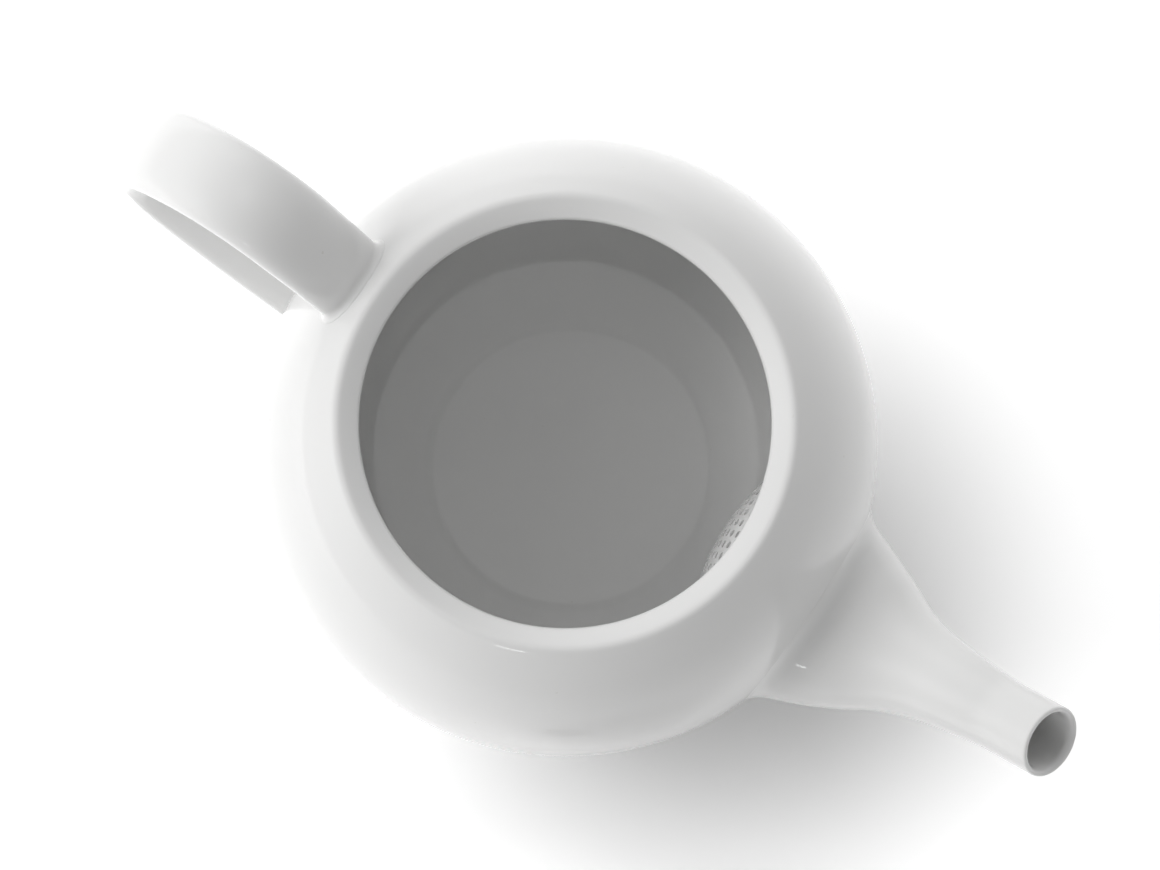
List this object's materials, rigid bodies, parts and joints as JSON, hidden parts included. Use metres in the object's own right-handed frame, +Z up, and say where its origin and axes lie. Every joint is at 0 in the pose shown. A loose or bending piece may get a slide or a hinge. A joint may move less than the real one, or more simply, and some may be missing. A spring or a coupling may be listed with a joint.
{
  "type": "teapot",
  "caption": "Round back-handled porcelain teapot with a flared spout, strap handle, pierced inner strainer and a loose lid laid beside it.",
  "frame": {"origin": "centre of the foot ring, on the table", "axes": "+Z up along the pot's axis; +X towards the spout, with the handle on the -X side; the lid lies on the -Y side at rest"},
  "size_m": [0.2196, 0.217, 0.0916],
  "materials": {
    "white_glaze": "glossy clear glaze over white porcelain"
  },
  "bodies": {
    "pot": {"pot_body": "white_glaze", "spout": "white_glaze", "handle": "white_glaze", "strainer": "white_glaze"},
    "lid": {"lid": "white_glaze", "lid_knob": "white_glaze"}
  },
  "joints": [
    {"name": "lid_lift", "type": "hinge", "parent": "pot", "child": "lid", "pos_m": [0.03698, -0.05587, 0.04817], "axis": [-0.8339, -0.5519, 0], "range_deg": [0, 180]}
  ]
}
